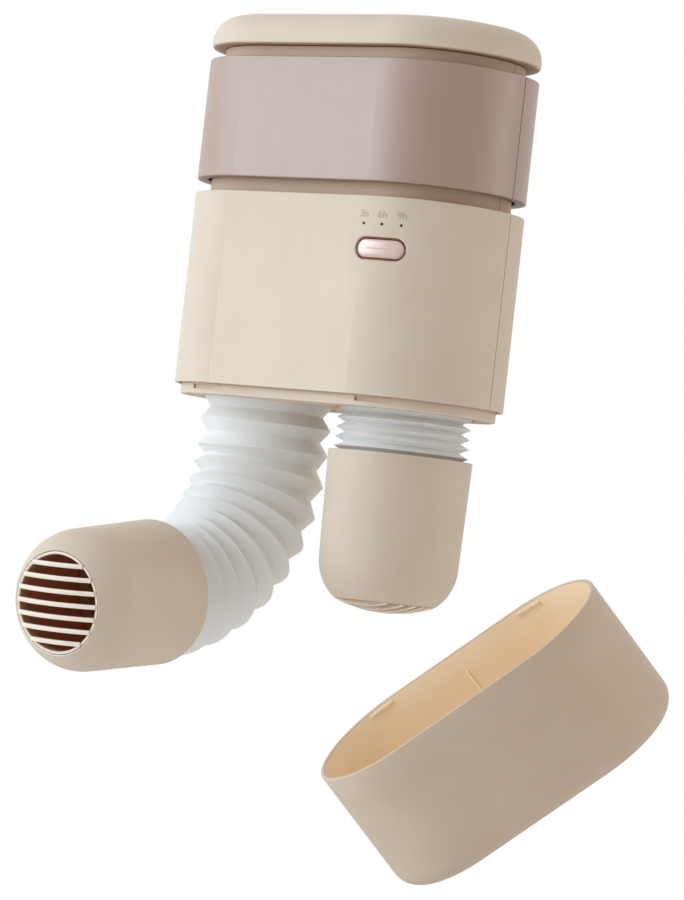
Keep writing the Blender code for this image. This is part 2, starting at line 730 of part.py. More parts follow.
def hoses():
    """Both hoses, each in the stretches that the joints need, with collars and nozzles."""
    edge = GAP / 2
    crest = LEFT_CREST
    bellows("left_bellows_top", left_frame, -HOSE_TOP, LEFT_STRAIGHT - edge, LEFT_PITCH, crest)
    for number, name in enumerate(("upper", "middle", "lower")):
        start = LEFT_STRAIGHT + number * LEFT_LINK
        end = start + LEFT_LINK
        bellows("left_bellows_" + name, left_frame, start + edge, end - edge, LEFT_PITCH, crest)
    bellows("left_bellows_end", left_frame, LEFT_ARC_END + edge, LEFT_END, LEFT_PITCH, crest)

    crest = RIGHT_NECK_START + RIGHT_PITCH / 2
    bellows("right_bellows_top", right_frame, -HOSE_TOP, RIGHT_NECK_START - edge, RIGHT_PITCH, crest)
    bellows("right_bellows_neck", right_frame, RIGHT_NECK_START + edge, RIGHT_NECK_END - edge,
            RIGHT_PITCH, crest)
    bellows("right_bellows_lower", right_frame, RIGHT_NECK_END + edge, RIGHT_LOWER_END,
            RIGHT_PITCH, crest, HIDDEN_CREST)

    for side, path in (("left", left_frame), ("right", right_frame)):
        collar(side + "_hose_collar", path, -0.0094, -PLATE_TOP - 2 * GAP, HOSE_CREST + GAP, COLLAR_OUTER)

    nozzle("left", left_frame(LEFT_RIM))
    nozzle("right", right_frame(RIGHT_RIM))
    left_ring = Matrix(left_frame(LEFT_RIM))
    inner = 0.0215
    outer = 0.0262
    depth = LEFT_END - LEFT_RIM + GAP
    collar("left_nozzle_collar", lambda _: left_ring, depth, depth + 0.004, inner, outer)
    right_ring = Matrix(right_frame(RIGHT_RIM))
    depth = RIGHT_LOWER_END - RIGHT_RIM + GAP
    collar("right_nozzle_collar", lambda _: right_ring, depth, depth + 0.004, inner, outer)


# ---------------------------------------------------------------- cup cover
def cup_cover():
    """The cover that pushes over both nozzles, built rim upwards in its own frame."""
    outer = [(inset, -height) for inset, height in reversed(rounded_edge(CUP_EDGE_RADIUS))]
    floor = CUP_EDGE_RADIUS - CUP_HEIGHT
    levels = [(inset, floor + z) for inset, z in outer] + [(0.0, -0.0004), (0.0004, 0.0)]
    cup = place("cup_cover", stacked_mesh(levels), ((0.72, 0.66, 0.58), 0.45))
    inner = reversed(rounded_edge(CUP_EDGE_RADIUS - CUP_WALL, CUP_WALL))
    levels = [(inset, floor - height) for inset, height in inner] + [(CUP_WALL, 0.004)]
    hollow = place("cup_hollow", stacked_mesh(levels))
    boolean(cup, hollow, "DIFFERENCE")
    wall = END_RADIUS - CUP_WALL
    ridges = curved_bars(CLIP_RIDGES, wall - 0.0009, wall + 0.0008, -0.0031, -0.0016)
    for side in (-1, 1):
        y0, y1 = sorted((side * (wall - 0.0008), side * (wall + 0.0008)))
        x = side * 0.0009
        ridges.append(box_mesh((x - 0.0006, y0, -0.0300), (x + 0.0006, y1, -0.0105)))
    ridge_tool = place("add_cup_ridges", merged(ridges))
    boolean(cup, ridge_tool, "UNION")
    stand = Matrix.Translation(CUP_RIM_CENTRE) @ Euler(CUP_TILT).to_matrix().to_4x4()
    for obj in (cup, hollow, ridge_tool):
        obj.matrix_world = stand


def build():
    """Make every piece."""
    casing("front_shell", True)
    casing("rear_shell", False)
    band("band_front", True)
    band("band_rear", False)
    top_cap()
    base_plate()
    screws()
    button()
    lenses()
    control_board()
    power_board()
    air_duct()
    heater()
    fan()
    cord_gland()
    hoses()
    cup_cover()


build()
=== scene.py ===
"""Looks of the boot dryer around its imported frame: casing, hoses, nozzles, cover and a plain studio."""

import math

import bmesh
import bpy
from mathutils import Euler, Matrix, Vector


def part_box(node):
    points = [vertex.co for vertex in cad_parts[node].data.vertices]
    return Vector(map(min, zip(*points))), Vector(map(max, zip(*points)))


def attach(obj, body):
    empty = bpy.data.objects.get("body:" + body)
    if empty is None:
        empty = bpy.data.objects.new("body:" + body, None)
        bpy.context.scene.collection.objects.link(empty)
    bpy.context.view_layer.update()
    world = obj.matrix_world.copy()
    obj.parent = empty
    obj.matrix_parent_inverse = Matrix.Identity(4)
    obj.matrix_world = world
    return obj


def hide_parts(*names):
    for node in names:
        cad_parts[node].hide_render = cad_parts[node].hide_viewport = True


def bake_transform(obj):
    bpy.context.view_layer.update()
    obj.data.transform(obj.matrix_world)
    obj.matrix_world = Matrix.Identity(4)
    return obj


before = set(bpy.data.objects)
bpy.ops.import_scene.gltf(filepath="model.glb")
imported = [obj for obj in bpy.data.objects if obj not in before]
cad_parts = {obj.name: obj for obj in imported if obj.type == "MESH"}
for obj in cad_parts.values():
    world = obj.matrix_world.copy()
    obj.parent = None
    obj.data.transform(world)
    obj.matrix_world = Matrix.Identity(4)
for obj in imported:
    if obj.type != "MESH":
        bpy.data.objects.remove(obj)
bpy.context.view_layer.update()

# ---------------------------------------------------------------- sizes in metres
MM = 0.001
SHELL_LOW, SHELL_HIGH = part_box("front_shell")
REAR_LOW, REAR_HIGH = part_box("rear_shell")
BAND_LOW, BAND_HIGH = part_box("band_front")
CAP_LOW, CAP_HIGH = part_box("top_cap")
PLATE_LOW, PLATE_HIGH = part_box("base_plate")

BODY_WIDTH = SHELL_HIGH.x - SHELL_LOW.x
BODY_DEPTH = REAR_HIGH.y - SHELL_LOW.y
END_RADIUS = BODY_DEPTH / 2
END_CENTRE = BODY_WIDTH / 2 - END_RADIUS
SEAM_Y = (SHELL_HIGH.y + REAR_LOW.y) / 2
SEAM_GAP = 0.30 * MM
SHELL_TOP = 78.1 * MM
NECK_INSET = 5.8 * MM
SHELL_WALL = 2.0 * MM
LIP_INSET = 2.8 * MM
ARC_STEPS = 40
FLAT_STEPS = 10

BUTTON_ANGLE = math.radians(13.6)
BUTTON_Z = 57.4 * MM
LENS_Z = 67.1 * MM
LABEL_Z = 69.6 * MM
LENS_ANGLES = {"3h": 2.0, "6h": 13.5, "9h": 24.9}
# Layers of the button's pill shapes: width, height and how far out of the wall, in millimetres.
RECESS_LAYERS = ((22.9, 9.9, -8), (22.9, 9.9, -1.35), (22.0, 9.0, -1.3), (22.0, 9.0, -0.55),
                 (22.2, 9.2, -0.25), (22.8, 9.8, -0.03), (23.3, 10.3, 0.05), (23.7, 10.7, 2))
BEZEL_LAYERS = ((22.6, 9.6, -2.9), (22.6, 9.6, -1.5), (21.5, 8.5, -1.45), (21.5, 8.5, -0.75),
                (21.35, 8.35, -0.6), (21.15, 8.15, -0.65), (21.0, 8.0, -0.8), (21.4, 8.2, -2.9))
BUTTON_LAYERS = ((13.6, 0.6, -3.0), (20.4, 7.4, -3.0), (20.4, 7.4, -0.75), (20.2, 7.2, -0.5),
                 (19.76, 6.76, -0.3), (19.0, 6.0, -0.14), (17.8, 4.8, -0.02), (16.4, 3.4, 0.05),
                 (14.8, 1.8, 0.09), (13.2, 0.2, 0.1))

CLIP_RECESSES = ((-47.5 * MM, -30.7 * MM), (37.5 * MM, 53.3 * MM))   # along the outline from mid front
CLIP_RIDGES = ((-47.1 * MM, -34.4 * MM), (34.4 * MM, 47.1 * MM))

HOSE_X = 35.0 * MM
HOSE_HOLE = 27.4 * MM
HOSE_CREST = 27.0 * MM
HOSE_VALLEY = 23.1 * MM
HOSE_WALL = 0.7 * MM
HIDDEN_CREST = 26.3 * MM
HOSE_TOP = 9.5 * MM
HOSE_SIDES = 96
LEFT_PITCH = 10.35 * MM
LEFT_CREST = 13.2 * MM
LEFT_STRAIGHT = 24.4 * MM
LEFT_BEND = math.radians(82.4)
LEFT_YAW = math.radians(-2.9)
LEFT_END_YAW = math.radians(5.0)
LINKS = 3
LINK_LENGTH = 29.4 * MM
LEFT_RADIUS = LINKS * LINK_LENGTH / LEFT_BEND
LEFT_ARC_END = LEFT_STRAIGHT + LINKS * LINK_LENGTH
LEFT_RIM = LEFT_ARC_END + 6.6 * MM
PATH_STEP = 0.5 * MM
RIGHT_PITCH = 3.87 * MM
RIGHT_NECK_START = 6.2 * MM
RIGHT_NECK_END = RIGHT_NECK_START + 4 * RIGHT_PITCH
RIGHT_LOWER_END = RIGHT_NECK_END + 9 * RIGHT_PITCH
RIGHT_RIM = 21.3 * MM
# One fold from crest to valley: share of the pitch, share of the height.
FOLD = ((0.0, 1.0), (0.011, 0.985), (0.026, 0.93), (0.05, 0.885), (0.12, 0.75), (0.25, 0.49),
        (0.38, 0.235), (0.45, 0.10), (0.485, 0.035), (0.5, 0.02))
FOLD_STOPS = [-a for a, _ in reversed(FOLD[:-1])] + [a for a, _ in FOLD[1:]]

DOME_RADIUS = 52.0 * MM
DOME_TOP = 63.0 * MM
SLAT_PITCH = 5.0 * MM
SLAT_HALF = 0.92 * MM

CUP_HEIGHT = 65.1 * MM
CUP_WALL = 1.8 * MM
CUP_RADIUS = 9.5 * MM
CUP_RIM_CENTRE = Vector((-34.2, 153.2, -110.8)) * MM
CUP_TILT = Euler((math.radians(20.0), math.radians(-40.8), math.radians(26.3)))
CUP_PLACE = Matrix.Translation(CUP_RIM_CENTRE) @ CUP_TILT.to_matrix().to_4x4()


# ---------------------------------------------------------------- materials
def srgb(red, green, blue):
    """Linear colour from 0-255 display values."""
    def linear(value):
        share = value / 255
        return share / 12.92 if share <= 0.04045 else ((share + 0.055) / 1.055) ** 2.4
    return (linear(red), linear(green), linear(blue), 1.0)


def mixed(tree, factor, first, second):
    """A colour mix node's result; factor is a socket, the colours are sockets or values."""
    node = tree.nodes.new("ShaderNodeMix")
    node.data_type = "RGBA"
    tree.links.new(factor, node.inputs["Factor"])
    for name, value in (("A", first), ("B", second)):
        socket = [s for s in node.inputs if s.name == name and s.type == "RGBA"][0]
        if isinstance(value, bpy.types.NodeSocket):
            tree.links.new(value, socket)
        else:
            socket.default_value = value
    return [s for s in node.outputs if s.type == "RGBA"][0]


def ramp(tree, source, low, high):
    """Maps a socket's low..high to 0..1."""
    node = tree.nodes.new("ShaderNodeMapRange")
    node.inputs["From Min"].default_value = low
    node.inputs["From Max"].default_value = high
    node.interpolation_type = "SMOOTHSTEP"
    tree.links.new(source, node.inputs["Value"])
    return node.outputs["Result"]


def noise(tree, scale, detail=3.0, stretch=(1, 1, 1)):
    """A noise pattern in the piece's own coordinates; scale is in features a metre."""
    place = tree.nodes.new("ShaderNodeTexCoord")
    mapping = tree.nodes.new("ShaderNodeMapping")
    mapping.inputs["Scale"].default_value = stretch
    pattern = tree.nodes.new("ShaderNodeTexNoise")
    pattern.inputs["Scale"].default_value = scale
    pattern.inputs["Detail"].default_value = detail
    tree.links.new(place.outputs["Object"], mapping.inputs["Vector"])
    tree.links.new(mapping.outputs["Vector"], pattern.inputs["Vector"])
    return pattern.outputs["Fac"]


CLOUD_TINT = (0.965, 0.955, 0.945)
# Colour scale and reach of the painted shade that darkens and warms hollows, creases and grooves.
PAINTED_SHADE_TINT = (0.62, 0.44, 0.32)
PAINTED_SHADE_REACH = 11 * MM


def tinted(colour, tint):
    """The colour with its channels scaled."""
    return tuple(channel * share for channel, share in zip(colour, tint)) + (1.0,)


def moulded(name, colour, rough=0.42, grain=2600, depth=0.03, painted_shade=0.6, metallic=0.0, specular=0.5,
            coat=0.0, subsurface=0.0, edge=0.35, stretch=(1, 1, 1)):
    """Moulded plastic or metal: fine grain, faint cloudiness, painted warm shade in hollows, paler edges,
    uneven gloss.
    """
    made = bpy.data.materials.new(name)
    made.use_nodes = True
    tree = made.node_tree
    shader = tree.nodes["Principled BSDF"]
    cloud = ramp(tree, noise(tree, 38, 4.0, stretch), 0.35, 0.70)
    tone = mixed(tree, cloud, colour, tinted(colour, CLOUD_TINT))
    # Painted shade: the colour darkens and warms where the occlusion node finds surfaces close by.
    hollow = tree.nodes.new("ShaderNodeAmbientOcclusion")
    hollow.inputs["Distance"].default_value = PAINTED_SHADE_REACH
    hollow.samples = 6
    shade = tree.nodes.new("ShaderNodeMath")
    shade.operation = "MULTIPLY_ADD"
    shade.inputs[1].default_value = -painted_shade
    shade.inputs[2].default_value = painted_shade
    tree.links.new(hollow.outputs["AO"], shade.inputs[0])
    tone = mixed(tree, shade.outputs[0], tone, tinted(colour, PAINTED_SHADE_TINT))
    geometry = tree.nodes.new("ShaderNodeNewGeometry")
    ridge = tree.nodes.new("ShaderNodeMath")
    ridge.operation = "MULTIPLY"
    ridge.inputs[1].default_value = edge
    tree.links.new(ramp(tree, geometry.outputs["Pointiness"], 0.515, 0.58), ridge.inputs[0])
    pale = tuple(min(1.0, channel * 1.16 + 0.02) for channel in colour[:3]) + (1.0,)
    tone = mixed(tree, ridge.outputs[0], tone, pale)
    tree.links.new(tone, shader.inputs["Base Color"])
    gloss = tree.nodes.new("ShaderNodeMapRange")
    gloss.inputs["To Min"].default_value = rough - 0.05
    gloss.inputs["To Max"].default_value = rough + 0.07
    tree.links.new(noise(tree, 140, 5.0, stretch), gloss.inputs["Value"])
    tree.links.new(gloss.outputs["Result"], shader.inputs["Roughness"])
    bump = tree.nodes.new("ShaderNodeBump")
    bump.inputs["Strength"].default_value = depth
    bump.inputs["Distance"].default_value = 0.25 * MM
    tree.links.new(noise(tree, grain, 2.0, stretch), bump.inputs["Height"])
    tree.links.new(bump.outputs["Normal"], shader.inputs["Normal"])
    shader.inputs["Metallic"].default_value = metallic
    shader.inputs["Specular IOR Level"].default_value = specular
    shader.inputs["Coat Weight"].default_value = coat
    shader.inputs["Coat Roughness"].default_value = 0.40
    if subsurface:
        shader.inputs["Subsurface Weight"].default_value = subsurface
        shader.inputs["Subsurface Radius"].default_value = (1.0, 0.55, 0.35)
        shader.inputs["Subsurface Scale"].default_value = 2.5 * MM
    return made


CREAM = moulded("cream_plastic", srgb(222, 209, 193), rough=0.62, specular=0.35, painted_shade=1.1, subsurface=0.10)
# The cup's outside: a darker copy of the body's cream, painted shade for its downward-facing wall.
CUP_CREAM_PAINTED_SHADE = moulded("cup_plastic_painted_shade", srgb(208, 191, 172), rough=0.55, subsurface=0.08)
# The nozzles' outside: a darker copy of the body's cream, painted shade.
NOZZLE_CREAM_PAINTED_SHADE = moulded("nozzle_plastic_painted_shade", srgb(216, 202, 185), rough=0.55, painted_shade=0.3, subsurface=0.10)
# The nozzle's lip: a paler copy of the cream, a painted highlight along the opening's rim.
LIP_PAINTED_HIGHLIGHT = moulded("nozzle_lip_painted_highlight", srgb(236, 226, 213), rough=0.5, painted_shade=0.0, subsurface=0.3)
# The cup's inside: a lighter, warmer copy of its cream, painted light bounced within the cup.
CUP_INSIDE_PAINTED_LIGHT = moulded("cup_inside_painted_light", srgb(252, 232, 202), rough=0.45, painted_shade=0.15, subsurface=0.15)
BROWN = moulded("band_plastic", srgb(160, 133, 118), rough=0.48, specular=1.0, coat=0.5, painted_shade=0.8)
GRILLE = moulded("grille_plastic", srgb(240, 229, 214), rough=0.42, painted_shade=1.5, subsurface=0.3)
# Brown standing in for the warm shade deep inside the nozzles: painted shade.
NOZZLE_INSIDE_PAINTED_SHADE = moulded("nozzle_inside_painted_shade", srgb(206, 158, 122), rough=0.6, painted_shade=0.3, subsurface=0.4, edge=0.0)
HOSE = moulded("hose_plastic", srgb(250, 246, 242), rough=0.42, grain=900, depth=0.05, painted_shade=0.08,
               subsurface=0.45, edge=0.5)
# Brown standing in for the warm shade inside the hoses: painted shade.
HOSE_INSIDE_PAINTED_SHADE = moulded("hose_inside_painted_shade", srgb(190, 128, 96), rough=0.6, painted_shade=0.4, subsurface=0.5, edge=0.0)
ROSE = moulded("rose_metal", srgb(219, 198, 190), rough=0.26, depth=0.005, metallic=0.25, painted_shade=0.8)
COPPER = moulded("copper_trim", srgb(196, 140, 112), rough=0.30, depth=0.01, metallic=0.8, painted_shade=0.6)
SMOKED = moulded("smoked_lens", srgb(16, 11, 9), rough=0.3, specular=0.15, painted_shade=0.0, edge=0.0)
PRINT = moulded("printed_ink", srgb(188, 168, 149), rough=0.6, painted_shade=0.0, edge=0.0)
STEEL = moulded("plated_steel", srgb(196, 196, 200), rough=0.28, metallic=1.0, painted_shade=0.1, stretch=(1, 1, 6))
ALUMINIUM = moulded("fin_aluminium", srgb(205, 207, 210), rough=0.35, metallic=1.0, stretch=(1, 8, 1))
BOARD = moulded("circuit_board", srgb(36, 96, 58), rough=0.45, grain=1500, depth=0.08)
BLACK = moulded("black_plastic", srgb(34, 34, 36), rough=0.5)
GREY = moulded("impeller_plastic", srgb(72, 72, 76), rough=0.45)
MICA = moulded("heater_board", srgb(176, 160, 136), rough=0.7, grain=700, depth=0.2)
DUCT = moulded("duct_plastic", srgb(226, 224, 220), rough=0.5)
RUBBER = moulded("gland_rubber", srgb(150, 138, 124), rough=0.65, grain=1800, depth=0.08)


# ---------------------------------------------------------------- mesh tools
def made_object(name, work, materials, angle=30.0):
    """An object from a bmesh, smooth apart from edges sharper than angle."""
    bmesh.ops.recalc_face_normals(work, faces=work.faces)
    mesh = bpy.data.meshes.new(name)
    work.to_mesh(mesh)
    work.free()
    for paint in materials:
        mesh.materials.append(paint)
    mesh.shade_smooth()
    mesh.set_sharp_from_angle(angle=math.radians(angle))
    obj = bpy.data.objects.new(name, mesh)
    bpy.context.scene.collection.objects.link(obj)
    return obj


def applied(obj):
    """The object with its modifiers made part of its mesh."""
    bpy.context.view_layer.update()
    graph = bpy.context.evaluated_depsgraph_get()
    mesh = bpy.data.meshes.new_from_object(obj.evaluated_get(graph))
    obj.modifiers.clear()
    obj.data = mesh
    return obj


def weighted_normals(obj):
    """Keep the flats flat in the shading beside rounded edges."""
    step = obj.modifiers.new("weighted", "WEIGHTED_NORMAL")
    step.keep_sharp = True
    return applied(obj)


def bevelled(obj, width, segments=3, angle=40.0):
    """Round the object's sharp edges and keep its flats flat."""
    bevel = obj.modifiers.new("bevel", "BEVEL")
    bevel.width = width
    bevel.segments = segments
    bevel.limit_method = "ANGLE"
    bevel.angle_limit = math.radians(angle)
    return weighted_normals(obj)


def cut(obj, cutters):
    """Take closed cutter objects away from a piece, and remove the cutters."""
    for cutter in cutters:
        step = obj.modifiers.new("cut", "BOOLEAN")
        step.operation = "DIFFERENCE"
        step.solver = "EXACT"
        step.object = cutter
    applied(obj)
    for cutter in cutters:
        bpy.data.objects.remove(cutter, do_unlink=True)
    obj.data.set_sharp_from_angle(angle=math.radians(30))
    if obj.data.has_custom_normals:
        weighted_normals(obj)
    return obj


def finish_piece(obj, body, slot, *nodes):
    """Rides on its body and stands for the CAD nodes, which it hides; slot is not used."""
    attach(obj, body)
    if nodes:
        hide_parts(*nodes)
    return obj


def full_outline(inset):
    """The body's stadium outline moved inwards by inset, as 2D points."""
    radius = END_RADIUS - inset
    points = []
    for side in (1, -1):
        for i in range(ARC_STEPS + 1):
            angle = -math.pi / 2 + math.pi * i / ARC_STEPS
            points.append(Vector((side * (END_CENTRE + radius * math.cos(angle)),
                                  side * radius * math.sin(angle))))
        start = points[-1]
        end = Vector((-start.x, start.y))
        points += [start.lerp(end, k / FLAT_STEPS) for k in range(1, FLAT_STEPS)]
    return points


def half_outline(inset, front):
    """The front or rear half of the outline, ending on the seam plane."""
    radius = END_RADIUS - inset
    edge = SEAM_Y - SEAM_GAP / 2 if front else SEAM_Y + SEAM_GAP / 2
    start = math.asin(edge / radius)
    end = -math.pi / 2 if front else math.pi / 2
    side = -radius if front else radius
    right = []
    for i in range(ARC_STEPS + 1):
        angle = start + (end - start) * i / ARC_STEPS
        right.append(Vector((END_CENTRE + radius * math.cos(angle), radius * math.sin(angle))))
    flat = [Vector((END_CENTRE * (1 - 2 * k / FLAT_STEPS), side)) for k in range(1, FLAT_STEPS)]
    left = [Vector((-p.x, p.y)) for p in reversed(right)]
    return right + flat + left


def loft(work, rings, closed_ring, closed_rings, caps=False, index=0):
    """Faces between rings of equal length. Returns the vertex rings."""
    made = [[work.verts.new(p) for p in ring] for ring in rings]
    pairs = list(zip(made, made[1:]))
    if closed_rings:
        pairs.append((made[-1], made[0]))
    for first, second in pairs:
        count = len(first)
        for i in range(count if closed_ring else count - 1):
            k = (i + 1) % count
            face = work.faces.new((first[i], first[k], second[k], second[i]))
            face.material_index = index
    if caps and closed_ring:
        work.faces.new(made[0]).material_index = index
        work.faces.new(made[-1]).material_index = index
    if caps and not closed_ring:
        work.faces.new([ring[0] for ring in made]).material_index = index
        work.faces.new([ring[-1] for ring in made]).material_index = index
    return made


def half_wall(name, profile, front, paint, edge_width):
    """A wall piece: a closed profile of (inset, z) swept along half of the outline."""
    work = bmesh.new()
    rings = [[Vector((p.x, p.y, z)) for p in half_outline(inset, front)] for inset, z in profile]
    loft(work, rings, closed_ring=False, closed_rings=True, caps=True)
    obj = made_object(name, work, [paint])
    return bevelled(obj, edge_width)


def arc(centre, radius, start, end, steps):
    """Points on an arc in the (inset, z) or (radius, z) plane, angles in degrees."""
    points = []
    for i in range(steps + 1):
        angle = math.radians(start + (end - start) * i / steps)
        points.append((centre[0] + radius * math.cos(angle), centre[1] + radius * math.sin(angle)))
    return points


def circle(radius, z, sides):
    """A ring of points about Z."""
    points = []
    for i in range(sides):
        angle = 2 * math.pi * i / sides
        points.append(Vector((radius * math.cos(angle), radius * math.sin(angle), z)))
    return points


def turned(name, profile, sides, materials, place=None, closed=True, indices=None):
    """A profile of (radius, z) turned about Z; indices gives each stretch's material."""
    work = bmesh.new()
    rings = [circle(radius, z, sides) for radius, z in profile]
    loft(work, rings, closed_ring=True, closed_rings=closed, caps=not closed)
    if indices:
        work.faces.ensure_lookup_table()
        for k, material_index in enumerate(indices):
            for i in range(sides):
                work.faces[k * sides + i].material_index = material_index
    if place:
        work.transform(place)
    return made_object(name, work, materials)


def curved_bars(stretches, inner, outer, low, high, fade=0.0, steps=12):
    """Bars that follow the outline at the front, and again at the back; fade thins them lengthwise."""
    work = bmesh.new()
    for side in (1, -1):
        for start, end in stretches:
            rings = []
            for i in range(steps + 1):
                along = start + (end - start) * i / steps
                turn = max(0.0, abs(along) - END_CENTRE) / END_RADIUS
                straight = min(abs(along), END_CENTRE)
                base = inner + fade * i / steps
                ring = []
                for radius, z in ((base, low), (outer, low), (outer, high), (base, high)):
                    x = math.copysign(straight + radius * math.sin(turn), along)
                    ring.append(Vector((side * x, -side * radius * math.cos(turn), z)))
                rings.append(ring)
            loft(work, rings, closed_ring=True, closed_rings=False, caps=True)
    bmesh.ops.recalc_face_normals(work, faces=work.faces)
    return work


# ---------------------------------------------------------------- casing
def wall_point(along, z, out):
    """A place on the front wall: along from the button's middle, height z, out from the surface."""
    angle = BUTTON_ANGLE + along / END_RADIUS
    if angle < 0:
        return Vector((END_CENTRE + angle * END_RADIUS, -END_RADIUS - out, z))
    return Vector((END_CENTRE + (END_RADIUS + out) * math.sin(angle),
                   -(END_RADIUS + out) * math.cos(angle), z))


def wall_place(angle, z):
    """Frame on the wall around the right-hand end; its Z points out of the wall."""
    middle = Matrix.Translation((END_CENTRE, 0, z)) @ Matrix.Rotation(angle, 4, "Z")
    return middle @ Matrix.Translation((0, -END_RADIUS, 0)) @ Matrix.Rotation(math.pi / 2, 4, "X")


def pill(width, height, steps=16, flat_steps=8):
    """Outline of a pill round the origin."""
    radius = height / 2
    middle = width / 2 - radius
    points = []
    for side in (1, -1):
        for i in range(steps + 1):
            angle = -math.pi / 2 + math.pi * i / steps
            points.append((side * (middle + radius * math.cos(angle)), side * radius * math.sin(angle)))
        start = points[-1]
        points += [(start[0] * (1 - 2 * k / flat_steps), start[1]) for k in range(1, flat_steps)]
    return points


def wall_pill(name, layers, paint, hollow=False):
    """A pill on the wall at the button, through layers of (width, height, out) in millimetres."""
    rings = [[wall_point(a, BUTTON_Z + b, out * MM) for a, b in pill(width * MM, height * MM)]
             for width, height, out in layers]
    work = bmesh.new()
    loft(work, rings, closed_ring=True, closed_rings=hollow, caps=not hollow)
    return made_object(name, work, [paint])


def shells():
    """Front and rear casings with their neck, and the recesses for button and lights."""
    inner = NECK_INSET + SHELL_WALL
    top = SHELL_HIGH.z
    floor = SHELL_TOP - 2.2 * MM
    profile = [(0, 0), (0, SHELL_TOP), (NECK_INSET, SHELL_TOP), (NECK_INSET, top), (inner, top),
               (inner, floor), (SHELL_WALL, floor), (SHELL_WALL, 0)]
    for name, front in (("front_shell", True), ("rear_shell", False)):
        shell = half_wall(name + "_fine", profile, front, CREAM, 0.35 * MM)
        if front:
            cutters = [wall_pill("recess", RECESS_LAYERS, CREAM)]
            hole = [(0.55 * MM, -4 * MM), (0.55 * MM, -0.15 * MM), (0.75 * MM, 0.05 * MM),
                    (0.80 * MM, 1 * MM)]
            for degrees in LENS_ANGLES.values():
                place = wall_place(math.radians(degrees), LENS_Z)
                cutters.append(turned("lens_hole", hole, 20, [CREAM], place, closed=False))
            cut(shell, cutters)
        finish_piece(shell, "body", "shell_cream", name)


def bands():
    """The two halves of the coloured band, with short flanges towards the neck."""
    z0, z1 = BAND_LOW.z, BAND_HIGH.z
    wall = 2.2 * MM
    flange = 4.4 * MM
    lip = 1.3 * MM
    profile = [(0, z0), (0, z1), (flange, z1), (flange, z1 - lip), (wall, z1 - lip), (wall, z0 + lip),
               (flange, z0 + lip), (flange, z0)]
    for name, front in (("band_front", True), ("band_rear", False)):
        piece = half_wall(name + "_fine", profile, front, BROWN, 0.45 * MM)
        finish_piece(piece, "body", "band_brown", name)


def outline_rings(profile):
    """3D rings of the full outline for a list of (inset, z)."""
    return [[Vector((p.x, p.y, z)) for p in full_outline(inset)] for inset, z in profile]


def cap():
    """The lid: rounded top edge, faint crown, small radius below, open underneath over the neck."""
    low, top = CAP_LOW.z, CAP_HIGH.z
    crown = 0.06 * MM
    radius = 10.5 * MM
    small = 1.1 * MM
    flat_reach = 26 * MM
    hollow = NECK_INSET + SHELL_WALL + 1 * MM
    profile = [(hollow + 12 * MM, top - 3 * MM), (hollow + 0.6 * MM, top - 3 * MM),
               (hollow, top - 3.6 * MM), (hollow, low + 0.3 * MM), (hollow - 0.3 * MM, low)]
    profile += arc((small, low + small), small, 270, 180, 5)
    profile += arc((radius, top - crown - radius), radius, 180, 90, 14)
    for share in (0.15, 0.35, 0.6, 0.85, 1.0):
        profile.append((radius + share * flat_reach, top - crown * (1 - share) ** 2))
    work = bmesh.new()
    loft(work, outline_rings(profile), closed_ring=True, closed_rings=False, caps=True)
    finish_piece(made_object("top_cap_fine", work, [CREAM]), "body", "cap_cream", "top_cap")


def plate():
    """The underside plate with its flared hose outlets, clip recesses, screw wells and screws."""
    low, top = PLATE_LOW.z, PLATE_HIGH.z
    profile = [(LIP_INSET + 20 * MM, top), (LIP_INSET + 1 * MM, top), (LIP_INSET, top),
               (LIP_INSET, low + 1 * MM), (LIP_INSET, low + 0.5 * MM),
               (LIP_INSET + 0.15 * MM, low + 0.15 * MM), (LIP_INSET + 0.5 * MM, low),
               (LIP_INSET + 4 * MM, low), (LIP_INSET + 20 * MM, low)]
    work = bmesh.new()
    loft(work, outline_rings(profile), closed_ring=True, closed_rings=False, caps=True)
    piece = made_object("base_plate_fine", work, [CREAM])
    cutters = []
    flare = 0.8 * MM
    hole = [(HOSE_HOLE, top + MM), (HOSE_HOLE, low + flare), (HOSE_HOLE + flare, low - 0.01 * MM),
            (HOSE_HOLE + flare, low - MM)]
    for side in (-1, 1):
        place = Matrix.Translation((side * HOSE_X, 0, 0))
        cutters.append(turned("bore", hole, 96, [CREAM], place, closed=False))
    face = END_RADIUS - LIP_INSET
    recesses = curved_bars(CLIP_RECESSES, face - 0.8 * MM, face + MM, -2.5 * MM, -0.8 * MM, 0.7 * MM)
    cutters.append(made_object("recesses", recesses, [CREAM]))
    places = []
    for number in range(1, 5):
        screw_low, screw_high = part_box("base_screw_%d" % number)
        centre = (screw_low + screw_high) / 2
        places.append((Matrix.Translation((centre.x, centre.y, 0)), screw_high.z))
    well = [(2.7 * MM, low - MM), (2.7 * MM, low + 2 * MM)]
    cutters += [turned("bore", well, 32, [CREAM], place, closed=False) for place, _ in places]
    cut(piece, cutters)
    finish_piece(piece, "body", "plate_cream", "base_plate")
    head = low + 0.35 * MM
    drive = head + 0.7 * MM
    for number, (place, tip) in enumerate(places, start=1):
        profile = [(0.35 * MM, drive), (0.9 * MM, drive), (1.1 * MM, head), (2.1 * MM, head),
                   (2.35 * MM, head + 0.3 * MM), (2.35 * MM, head + 1.4 * MM), (1.15 * MM, head + 1.4 * MM),
                   (1.15 * MM, tip), (0.35 * MM, tip)]
        screw = turned("base_screw_fine_%d" % number, profile, 32, [STEEL], place)
        finish_piece(screw, "body", "screw_steel", "base_screw_%d" % number)


